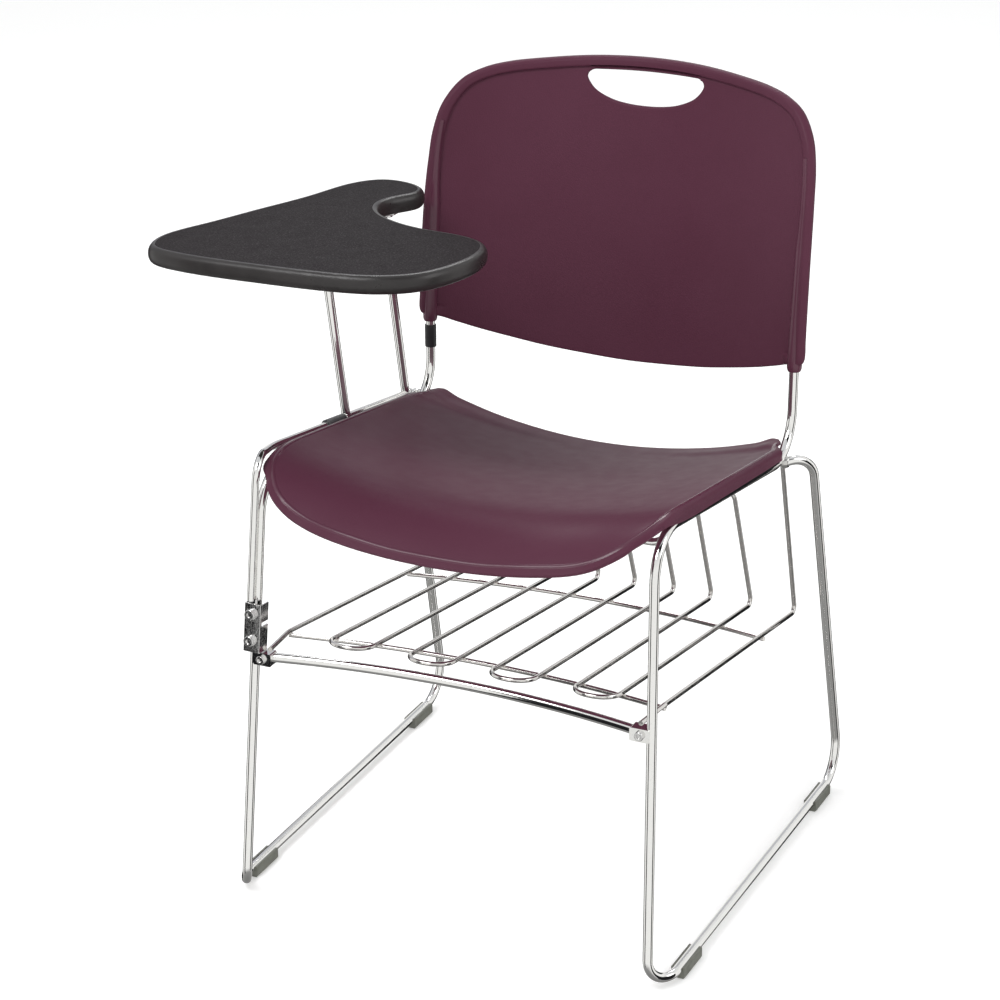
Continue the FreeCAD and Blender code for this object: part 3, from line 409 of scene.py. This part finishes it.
def back_y(x, z):
    yc = spline_table(YC, z)
    return yc - (yc - spline_table(YE, z)) * (x / 220.0) ** 2


def catmull(points, closed, step):
    """Dense points along a Catmull-Rom curve, evenly spaced."""
    n = len(points)
    dense = []
    for i in range(n if closed else n - 1):
        if closed:
            a, b, c, d = (points[(i + k) % n] for k in (-1, 0, 1, 2))
        else:
            a, b, c, d = points[max(0, i - 1)], points[i], points[i + 1], points[min(n - 1, i + 2)]
        a, b, c, d = Vector(a), Vector(b), Vector(c), Vector(d)
        k = math.sqrt
        t0 = 0.0
        t1 = t0 + max(1e-6, k((b - a).length))
        t2 = t1 + max(1e-6, k((c - b).length))
        t3 = t2 + max(1e-6, k((d - c).length))
        for q in range(24):
            t = t1 + (t2 - t1) * q / 24.0
            a1 = a * ((t1 - t) / (t1 - t0)) + b * ((t - t0) / (t1 - t0)) if t1 - t0 > 1e-4 else b.copy()
            a2 = b * ((t2 - t) / (t2 - t1)) + c * ((t - t1) / (t2 - t1))
            a3 = c * ((t3 - t) / (t3 - t2)) + d * ((t - t2) / (t3 - t2)) if t3 - t2 > 1e-4 else c.copy()
            b1 = a1 * ((t2 - t) / (t2 - t0)) + a2 * ((t - t0) / (t2 - t0))
            b2 = a2 * ((t3 - t) / (t3 - t1)) + a3 * ((t - t1) / (t3 - t1))
            dense.append(b1 * ((t2 - t) / (t2 - t1)) + b2 * ((t - t1) / (t2 - t1)))
    if not closed:
        dense.append(Vector(points[-1]))
    run = [0.0]
    loop = dense + ([dense[0]] if closed else [])
    for a, b in zip(loop[:-1], loop[1:]):
        run.append(run[-1] + (b - a).length)
    count = max(8, int(round(run[-1] / step)))
    out, j = [], 0
    for i in range(count if closed else count + 1):
        d = run[-1] * i / count
        while j < len(run) - 2 and run[j + 1] < d:
            j += 1
        f = (d - run[j]) / max(1e-9, run[j + 1] - run[j])
        out.append(loop[j].lerp(loop[j + 1], f))
    return out


def inward(loop, d):
    """Closed counter-clockwise loop moved inward by d, smoothed normals."""
    n = len(loop)
    out = []
    for i in range(n):
        t = loop[(i + 2) % n] - loop[(i - 2) % n]
        nrm = Vector((-t.y, t.x)).normalized()
        out.append(loop[i] + nrm * d)
    return out


def back_outline(half):
    right = [(0.0, 477.0), (45.0, 479.1), (92.0, 484.5), (130.0, 492.3), (162.0, 500.7), (188.0, 509.4), (204.0, 515.4),
             (half - 7.5, 517.2), (half - 2.4, 519.4), (half, 524.5), (half, 545.0), (half - 0.3, 580.0), (half - 0.9, 620.0), (half - 1.8, 660.0),
             (half - 3.2, 692.0), (half - 5.4, 722.0), (half - 12.5, 750.5), (half - 29.0, 774.5), (half - 50.0, 785.8),
             (150.0, 791.6), (112.0, 796.0), (60.0, 800.3), (0.0, 801.9)]
    left = [(-x, z) for x, z in right[-2:0:-1]]
    return [Vector(p) for p in right + left]


HOLE = [(67.0, 778.4), (65.2, 782.6), (60.6, 785.2), (54.0, 785.6), (30.0, 786.2), (0.0, 786.5), (-30.0, 786.2), (-54.0, 785.6),
        (-60.6, 785.2), (-65.2, 782.6), (-67.0, 778.4), (-64.2, 772.2), (-56.0, 763.6), (-38.0, 755.2), (-20.0, 751.6), (0.0, 750.5),
        (20.0, 751.6), (38.0, 755.2), (56.0, 763.6), (64.2, 772.2)]


def build_backrest():
    from mathutils.geometry import delaunay_2d_cdt
    lo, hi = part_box("backrest_shell")
    half = min(hi.x, -lo.x) * 1000.0 - 0.3
    top = 801.9
    outer = catmull(back_outline(half), True, 2.2)
    area2 = sum(a.x * b.y - b.x * a.y for a, b in zip(outer, outer[1:] + outer[:1]))
    if area2 < 0:
        outer.reverse()
    hole = catmull([Vector(p) for p in HOLE], True, 2.0)
    area2 = sum(a.x * b.y - b.x * a.y for a, b in zip(hole, hole[1:] + hole[:1]))
    if area2 < 0:
        hole.reverse()
    depths = [0.0, 0.25, 0.8, 1.7, 3.0, 4.6, 6.4, 8.2, 9.7, 10.8, 11.6, 12.3, 13.1, 14.2, 16.0]
    hdepths = [0.0, 0.3, 0.9, 1.8, 3.2, 5.0]
    pts, info, edges = [], [], []

    def ring(loop, kind, d):
        base = len(pts)
        for i, p in enumerate(loop):
            pts.append(p)
            info.append((kind, d, i))
        return base

    n, m = len(outer), len(hole)
    rings = [ring(inward(outer, d), "o", d) for d in depths]
    for b in rings:
        edges += [(b + i, b + (i + 1) % n) for i in range(n)]
    hrings = [ring(inward(hole, -d), "h", d) for d in hdepths]
    for b in hrings:
        edges += [(b + i, b + (i + 1) % m) for i in range(m)]
    lim_o = inward(outer, depths[-1] + 3.0)
    lim_h = inward(hole, -hdepths[-1] - 3.0)

    def inside(p, loop):
        c = False
        for a, b in zip(loop, loop[1:] + loop[:1]):
            if (a.y > p.y) != (b.y > p.y) and p.x < (b.x - a.x) * (p.y - a.y) / (b.y - a.y) + a.x:
                c = not c
        return c

    step = 7.0
    rows = int((top - 470.0) / (step * 0.866)) + 1
    for r in range(rows):
        z = 470.0 + r * step * 0.866
        x = -half + (step / 2 if r % 2 else 0.0)
        while x < half:
            p = Vector((x, z))
            if inside(p, lim_o) and not inside(p, lim_h):
                pts.append(p)
                info.append(("p", 99.0, 0))
            x += step
    vco, vedges, faces, orig, _, _ = delaunay_2d_cdt(pts, edges, [], 0, 1e-5, True)
    first = [o[0] if o else -1 for o in orig]
    # keep only the triangles between the outline and the hole
    outer_in = inward(outer, 0.02)
    hole_out = inward(hole, 0.02)
    keep = []
    for f in faces:
        c = sum((vco[i] for i in f), Vector((0, 0))) / len(f)
        if inside(c, outer_in) or inside(c, outer):
            if not inside(c, hole_out):
                keep.append(tuple(f))

    def smooth(a, b, v):
        t = min(1.0, max(0.0, (v - a) / (b - a)))
        return t * t * (3 - 2 * t)

    def lift(kind, d, p):
        """(front, rear) distance of the skin from the panel's front face."""
        thick = 4.6
        if kind == "h":
            r = 2.3
            k = math.sqrt(max(0.0, 1 - (1 - min(1.0, d / r)) ** 2))
            return (-thick / 2 + k * thick / 2, thick / 2 + k * thick / 2)
        if kind == "p":
            return (0.0, thick)
        # how much bead there is: none along the bottom edge
        side = smooth(half - 27.0, half - 15.0, abs(p.x))
        low = smooth(507.0, 540.0, p.y)
        amount = max(side, low if abs(p.x) < half - 27.0 else 1.0)
        if p.y < 560.0 and abs(p.x) < half - 27.0:
            amount = 0.0
        elif p.y < 560.0:
            amount = side
        w = 11.6
        bead = 0.0
        if d < w:
            u = (d - w / 2) / (w / 2)
            bead = math.sqrt(max(0.0, 1 - u * u * u * u))
        groove = 0.55 * math.exp(-((d - 12.3) / 0.9) ** 2)
        front_b = 3.4 * bead - groove
        rear_b = thick + 3.4 * bead
        # plain rounded edge
        k = math.sqrt(max(0.0, 1 - (1 - min(1.0, d / 2.3)) ** 2))
        front_p, rear_p = -thick / 2 + k * thick / 2, thick / 2 + k * thick / 2
        if d < 1e-6:
            mid = thick / 2
            return (-mid, mid)
        edge = math.sqrt(min(1.0, d / 3.0))
        front = (-thick / 2) * (1 - edge) + front_b * edge
        rear = (thick / 2) * (1 - edge) + rear_b * edge
        return (front_p + (front - front_p) * amount, rear_p + (rear - rear_p) * amount)

    front_v, rear_v = [], []
    for i, p in enumerate(vco):
        kind, d, _ = info[first[i]] if first[i] >= 0 else ("p", 99.0, 0)
        f, r = lift(kind, d, p)
        g = back_y(p.x + 0.5, p.y) - back_y(p.x - 0.5, p.y)
        k = math.sqrt(1 + g * g)
        y = back_y(p.x, p.y)
        front_v.append(Vector((p.x + f * g / k, y - f / k, p.y)) / 1000.0)
        rear_v.append(Vector((p.x - r * g / k, y + r / k, p.y)) / 1000.0)
    verts = front_v + rear_v
    off = len(front_v)
    polys = []
    rim = {}
    for f in keep:
        a, b, c = (vco[i] for i in f[:3])
        ccw = (b - a).x * (c - a).y - (b - a).y * (c - a).x > 0
        tri = f if ccw else f[::-1]
        polys.append(tri)
        polys.append(tuple(off + i for i in tri[::-1]))
        for u, v in zip(tri, tri[1:] + tri[:1]):
            rim[(u, v)] = rim.get((u, v), 0) + 1
    for (u, v) in [e for e in rim if (e[1], e[0]) not in rim]:
        polys.append((v, u, off + u, off + v))
    me = bpy.data.meshes.new("backrest_skin")
    me.from_pydata(verts, [], polys)
    smooth_edge = []
    for i, p in enumerate(vco):
        kind, d, _ = info[first[i]] if first[i] >= 0 else ("p", 99.0, 0)
        smooth_edge.append((kind == "o" and d <= 12.4) or (kind == "h" and d < 2.5))
    for poly in me.polygons:
        if all(smooth_edge[i % off] for i in poly.vertices):
            poly.material_index = 1
    me.validate()
    bm = bmesh.new()
    bm.from_mesh(me)
    bmesh.ops.remove_doubles(bm, verts=bm.verts, dist=0.00002)
    bmesh.ops.recalc_face_normals(bm, faces=bm.faces)
    bm.to_mesh(me)
    bm.free()
    me.shade_smooth()
    obj = bpy.data.objects.new("backrest_skin", me)
    scene.collection.objects.link(obj)
    split = obj.modifiers.new("crease", "EDGE_SPLIT")
    split.split_angle = math.radians(62.0)
    split.use_edge_sharp = False
    dress(obj, MATS["maroon_plastic"])
    obj.data.materials.append(MATS["maroon_rim"])
    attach(obj, "chair")
    return obj


def tube(name, points, radii, mat, body, segments=28, closed_ends=True):
    """A round tube through points with its own radius at each, ends closed with flat caps."""
    pts = [Vector(p) for p in points]
    verts, faces = [], []
    frame_n = None
    for i, p in enumerate(pts):
        t = (pts[min(i + 1, len(pts) - 1)] - pts[max(i - 1, 0)]).normalized()
        if frame_n is None:
            frame_n = t.orthogonal().normalized()
        frame_n = (frame_n - t * frame_n.dot(t)).normalized()
        b = t.cross(frame_n)
        for k in range(segments):
            a = 2 * math.pi * k / segments
            verts.append(p + (frame_n * math.cos(a) + b * math.sin(a)) * radii[i])
    for i in range(len(pts) - 1):
        for k in range(segments):
            q = (k + 1) % segments
            faces.append((i * segments + k, i * segments + q, (i + 1) * segments + q, (i + 1) * segments + k))
    if closed_ends:
        faces.append(tuple(range(segments))[::-1])
        faces.append(tuple((len(pts) - 1) * segments + k for k in range(segments)))
    me = bpy.data.meshes.new(name)
    me.from_pydata(verts, [], faces)
    bm = bmesh.new()
    bm.from_mesh(me)
    bmesh.ops.recalc_face_normals(bm, faces=bm.faces)
    bm.to_mesh(me)
    bm.free()
    me.shade_smooth()
    obj = bpy.data.objects.new(name, me)
    scene.collection.objects.link(obj)
    sp = obj.modifiers.new("crease", "EDGE_SPLIT")
    sp.split_angle = math.radians(50.0)
    dress(obj, mat)
    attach(obj, body)
    return obj


skin = build_backrest()
parts_of_back = [skin]
for side, s in (("left", 1), ("right", -1)):
    # socket round the upright: it fades into the rim as it climbs
    line = [Vector(p) for p in ((s * 213.6, 168.75, 511.4), (s * 213.6, 169.0, 520.0), (s * 213.65, 173.2, 556.0),
                                (s * 213.7, 178.0, 596.0), (s * 213.75, 183.0, 636.0), (s * 213.2, 188.0, 676.0),
                                (s * 211.6, 193.0, 706.0), (s * 208.5, 199.0, 732.0))]
    fine = catmull(line, False, 3.0)
    rad = []
    for p in fine:
        z = p.z
        r = 7.9
        if z > 640.0:
            r = 7.9 - 5.2 * min(1.0, (z - 640.0) / 92.0) ** 0.8
        r -= 1.1 * max(0.0, 1 - (z - 511.4) / 1.6) if z < 513.0 else 0.0
        rad.append(r / 1000.0)
    parts_of_back.append(tube(f"backrest_socket_{side}", [p / 1000.0 for p in fine], rad, MATS["maroon_rim"], "chair"))
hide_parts("backrest_shell")


# --------------------------------------------------------- seat rim and apron
def seat_welt(name, path, width, height):
    """A low rolled bead that follows the top of the seat along a line in plan (mm)."""
    o = NODES["seat_shell"]
    bvh = BVHTree.FromPolygons([v.co.copy() for v in o.data.vertices], [tuple(q.vertices) for q in o.data.polygons])
    line = catmull([Vector(q) for q in path], False, 4.0)
    spots = []
    for q in line:
        hit, nrm, _, _ = bvh.ray_cast(Vector((q.x / 1000.0, q.y / 1000.0, 0.60)), Vector((0, 0, -1)))
        if hit is None:
            continue
        spots.append((hit, nrm if nrm.z > 0 else -nrm))
    # even out the surface normals along the bead
    normals = []
    for i in range(len(spots)):
        acc = Vector()
        for k in range(max(0, i - 3), min(len(spots), i + 4)):
            acc += spots[k][1]
        normals.append(acc.normalized())
    cols = 13
    verts, faces = [], []
    n = len(spots)
    for i in range(n):
        at = spots[i][0]
        t = (spots[min(i + 1, n - 1)][0] - spots[max(i - 1, 0)][0]).normalized()
        side = t.cross(normals[i]).normalized()
        fade = min(1.0, i / 6.0, (n - 1 - i) / 6.0)
        for c in range(cols):
            u = -1 + 2 * c / (cols - 1)
            flat = at + side * (u * width / 2000.0)
            near, _, _, dist = bvh.find_nearest(flat)
            if near is None or dist > 0.004:
                near = flat
            h = height / 1000.0 * fade * (0.5 + 0.5 * math.cos(math.pi * u)) - 0.00012
            verts.append(near + normals[i] * h)
    for i in range(n - 1):
        for c in range(cols - 1):
            a = i * cols + c
            faces.append((a, a + 1, a + cols + 1, a + cols))
    me = bpy.data.meshes.new(name)
    me.from_pydata(verts, [], faces)
    bm = bmesh.new()
    bm.from_mesh(me)
    bmesh.ops.recalc_face_normals(bm, faces=bm.faces)
    if sum((f.normal.z for f in bm.faces)) < 0:
        bmesh.ops.reverse_faces(bm, faces=bm.faces)
    bm.to_mesh(me)
    bm.free()
    me.shade_smooth()
    obj = bpy.data.objects.new(name, me)
    scene.collection.objects.link(obj)
    solid = obj.modifiers.new("body", "SOLIDIFY")
    solid.thickness = 0.0008
    solid.offset = -1.0
    dress(obj, MATS["maroon_rim"])
    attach(obj, "chair")
    return obj


SIDE_LINE = [(203.5, 150.0), (208.6, 126.0), (212.2, 112.0), (213.0, 90.0), (213.2, 45.0), (213.2, 0.0), (213.2, -50.0),
             (213.3, -100.0), (213.2, -130.0), (212.2, -152.0), (210.5, -170.0), (208.3, -185.0), (205.2, -198.0),
             (200.4, -209.0), (194.0, -219.5), (186.0, -229.5), (172.5, -238.2), (148.0, -245.4), (110.0, -253.0),
             (60.0, -256.2), (0.0, -257.2)]
LOOP = SIDE_LINE + [(-x, y) for x, y in SIDE_LINE[-2::-1]]
seat_welt("seat_rim_bead", LOOP, 6.4, 0.8)

# ------------------------------------------------------- weld beads and drops
def bead(name, body, at, axis, length, width, seed, mat="weld"):
    """A small lumpy weld bead lying along an axis."""
    bm = bmesh.new()
    bmesh.ops.create_icosphere(bm, subdivisions=4, radius=1.0)
    z = Vector(axis).normalized()
    rot = z.to_track_quat("Z", "Y").to_matrix()
    for v in bm.verts:
        n = noise.noise(v.co * 2.6 + Vector((seed * 3.1, seed * 1.7, 0.0)))
        ripple = 0.10 * math.sin(v.co.z * 11.0 + seed)
        k = 1.0 + 0.22 * n + ripple * (1 - abs(v.co.z))
        p = Vector((v.co.x * width / 2 * k, v.co.y * width / 2 * k, v.co.z * length / 2))
        v.co = rot @ p + Vector(at)
    me = bpy.data.meshes.new(name)
    bm.to_mesh(me)
    bm.free()
    me.shade_smooth()
    obj = bpy.data.objects.new(name, me)
    scene.collection.objects.link(obj)
    dress(obj, MATS[mat])
    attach(obj, body)
    return obj


def tree(name):
    o = NODES[name]
    vs = [v.co.copy() for v in o.data.vertices]
    ps = [tuple(p.vertices) for p in o.data.polygons]
    return BVHTree.FromPolygons(vs, ps)


def touch(a, b, limit=0.0008, gap=0.012):
    """Places where two pieces meet: midpoints of close vertices, thinned to one per spot."""
    ta = tree(b)
    hits = []
    for v in NODES[a].data.vertices:
        p, n, i, d = ta.find_nearest(v.co, limit)
        if p is not None:
            hits.append((v.co + p) / 2)
    spots = []
    for h in hits:
        for s in spots:
            if (s[0] / s[1] - h).length < gap:
                s[0] += h
                s[1] += 1
                break
        else:
            spots.append([h.copy(), 1])
    return [s[0] / s[1] for s in spots]


k = 0
for wire in ("basket_cross_wire_front", "basket_cross_wire_rear", "seat_cross_rod_rear"):
    for i in (1, 2, 3, 4):
        loop = f"basket_loop_{i}"
        for p in touch(loop, wire)[:2]:
            k += 1
            bead(f"weld_nugget_{k:02d}", "chair", p, (1, 0.06, 0), 0.0056, 0.0034, k)
for side in ("left", "right"):
    for wire in ("basket_cross_wire_front", "basket_cross_wire_rear"):
        for p in touch(f"basket_side_wire_{side}", wire)[:1]:
            k += 1
            bead(f"weld_nugget_{k:02d}", "chair", p, (1, 0, 0), 0.0056, 0.0034, k)
for which in ("front", "rear"):
    spots = touch(f"tablet_support_{which}", "tablet_hinge_tube", 0.0006, 0.03)
    if spots:
        c = spots[0]
        for j, (dx, dy, dz) in enumerate(((0.0035, 0.004, 0.0006), (0.0035, -0.004, 0.001), (-0.003, 0.004, 0.0006),
                                          (-0.003, -0.004, 0.001), (0.0, 0.0055, 0.001), (0.0, -0.0055, 0.0015))):
            k += 1
            if j != 2:
                continue  # the others would sink into the fixed rod, collar or stop
            bead(f"support_weld_{which}_{j}", "tablet_arm", c + Vector((dx, dy, dz)), (0.3, 1, 0.1), 0.0055, 0.0034, k)


# ------------------------------------------------------------ studio and light
def plain(name, color, rough=0.9, strength=None):
    m = bpy.data.materials.new(name)
    m.use_nodes = True
    t = m.node_tree
    b = t.nodes["Principled BSDF"]
    b.inputs["Base Color"].default_value = color
    b.inputs["Roughness"].default_value = rough
    if strength is not None:
        b.inputs["Emission Color"].default_value = color
        b.inputs["Emission Strength"].default_value = strength
        b.inputs["Base Color"].default_value = (0, 0, 0, 1)
    return m


def quad(name, centre, u, v, mat):
    me = bpy.data.meshes.new(name)
    c, u, v = Vector(centre), Vector(u), Vector(v)
    me.from_pydata([c - u - v, c + u - v, c + u + v, c - u + v], [], [(0, 1, 2, 3)])
    o = bpy.data.objects.new(name, me)
    scene.collection.objects.link(o)
    o.data.materials.append(mat)
    return o


floor = quad("studio_floor", (0, 0, -0.0003), (25, 0, 0), (0, 25, 0), plain("floor_paper", (0.90, 0.90, 0.895, 1), 0.85))
fb = floor.data.materials[0].node_tree.nodes["Principled BSDF"]
fb.inputs["Emission Color"].default_value = (1, 1, 1, 1)
fb.inputs["Emission Strength"].default_value = 0.26

# cards seen only in reflections, for the dark streaks along the plated rods
black = plain("card_black", (0.006, 0.006, 0.008, 1), 1.0)


def card(name, az, el, dist, w, h):
    a, e = math.radians(az), math.radians(el)
    d = Vector((math.sin(a) * math.cos(e), -math.cos(a) * math.cos(e), math.sin(e)))
    side = Vector((math.cos(a), math.sin(a), 0))
    up = d.cross(side)
    o = quad(name, Vector((0, 0, 0.45)) + d * dist, side * w / 2, up * h / 2, black)
    for flag in ("visible_camera", "visible_diffuse", "visible_shadow", "visible_transmission", "visible_volume_scatter"):
        setattr(o, flag, False)
    return o


CAM_AZ = 25.6
card("card_left", CAM_AZ - 64.0, -8.0, 4.2, 1.55, 6.0)
card("card_right", CAM_AZ + 70.0, -8.0, 4.2, 1.75, 6.0)
card("card_back_left", CAM_AZ - 143.0, -14.0, 4.4, 3.3, 4.4)
card("card_back_right", CAM_AZ + 143.0, -14.0, 4.4, 3.3, 4.4)
card("card_top", CAM_AZ, 60.0, 3.6, 5.0, 1.1)
dim = card("card_back_high", CAM_AZ + 200.0, 27.0, 4.6, 7.4, 2.5)
dim.data.materials[0] = plain("card_grey", (0.50, 0.505, 0.54, 1), 1.0, 1.0)
floor.visible_glossy = False


def area(name, az, el, dist, size, power, color=(1, 1, 1)):
    lt = bpy.data.lights.new(name, "AREA")
    lt.shape = "RECTANGLE"
    lt.size, lt.size_y = size
    lt.energy = power
    lt.color = color
    o = bpy.data.objects.new(name, lt)
    scene.collection.objects.link(o)
    a, e = math.radians(az), math.radians(el)
    d = Vector((math.sin(a) * math.cos(e), -math.cos(a) * math.cos(e), math.sin(e)))
    o.location = Vector((0, 0, 0.45)) + d * dist
    o.rotation_mode = "QUATERNION"
    o.rotation_quaternion = (-d).to_track_quat("-Z", "Y")
    return o


area("key_softbox", -25.0, 52.0, 3.2, (1.6, 1.2), 38.0)
area("fill_softbox", 95.0, 30.0, 3.4, (1.4, 1.8), 16.0)
area("rim_softbox", 200.0, 48.0, 3.2, (1.8, 0.8), 26.0)

world = bpy.data.worlds.new("studio_world")
scene.world = world
world.use_nodes = True
wt = world.node_tree
wt.nodes.clear()
wo = wt.nodes.new("ShaderNodeOutputWorld")
bg = wt.nodes.new("ShaderNodeBackground")
wt.links.new(bg.outputs[0], wo.inputs[0])
tc = wt.nodes.new("ShaderNodeTexCoord")
sx = wt.nodes.new("ShaderNodeSeparateXYZ")
wt.links.new(tc.outputs["Generated"], sx.inputs[0])
mr = wt.nodes.new("ShaderNodeMapRange")
mr.inputs[1].default_value, mr.inputs[2].default_value = -1.0, 1.0
wt.links.new(sx.outputs["Z"], mr.inputs[0])
wr = wt.nodes.new("ShaderNodeValToRGB")
els = wr.color_ramp.elements


def grey(v):
    return (v, v, v * 0.985, 1)


els[0].position, els[0].color = 0.0, grey(0.22)
els[1].position, els[1].color = 1.0, (0.66, 0.67, 0.69, 1)
for at, v in ((0.16, 0.30), (0.24, 0.72), (0.30, 0.97), (0.47, 0.95), (0.66, 0.97)):
    e = els.new(at)
    e.color = grey(v)
wt.links.new(mr.outputs[0], wr.inputs[0])
wt.links.new(wr.outputs[0], bg.inputs["Color"])
bg.inputs["Strength"].default_value = 0.92

scene.view_settings.view_transform = "Standard"
scene.view_settings.look = "None"
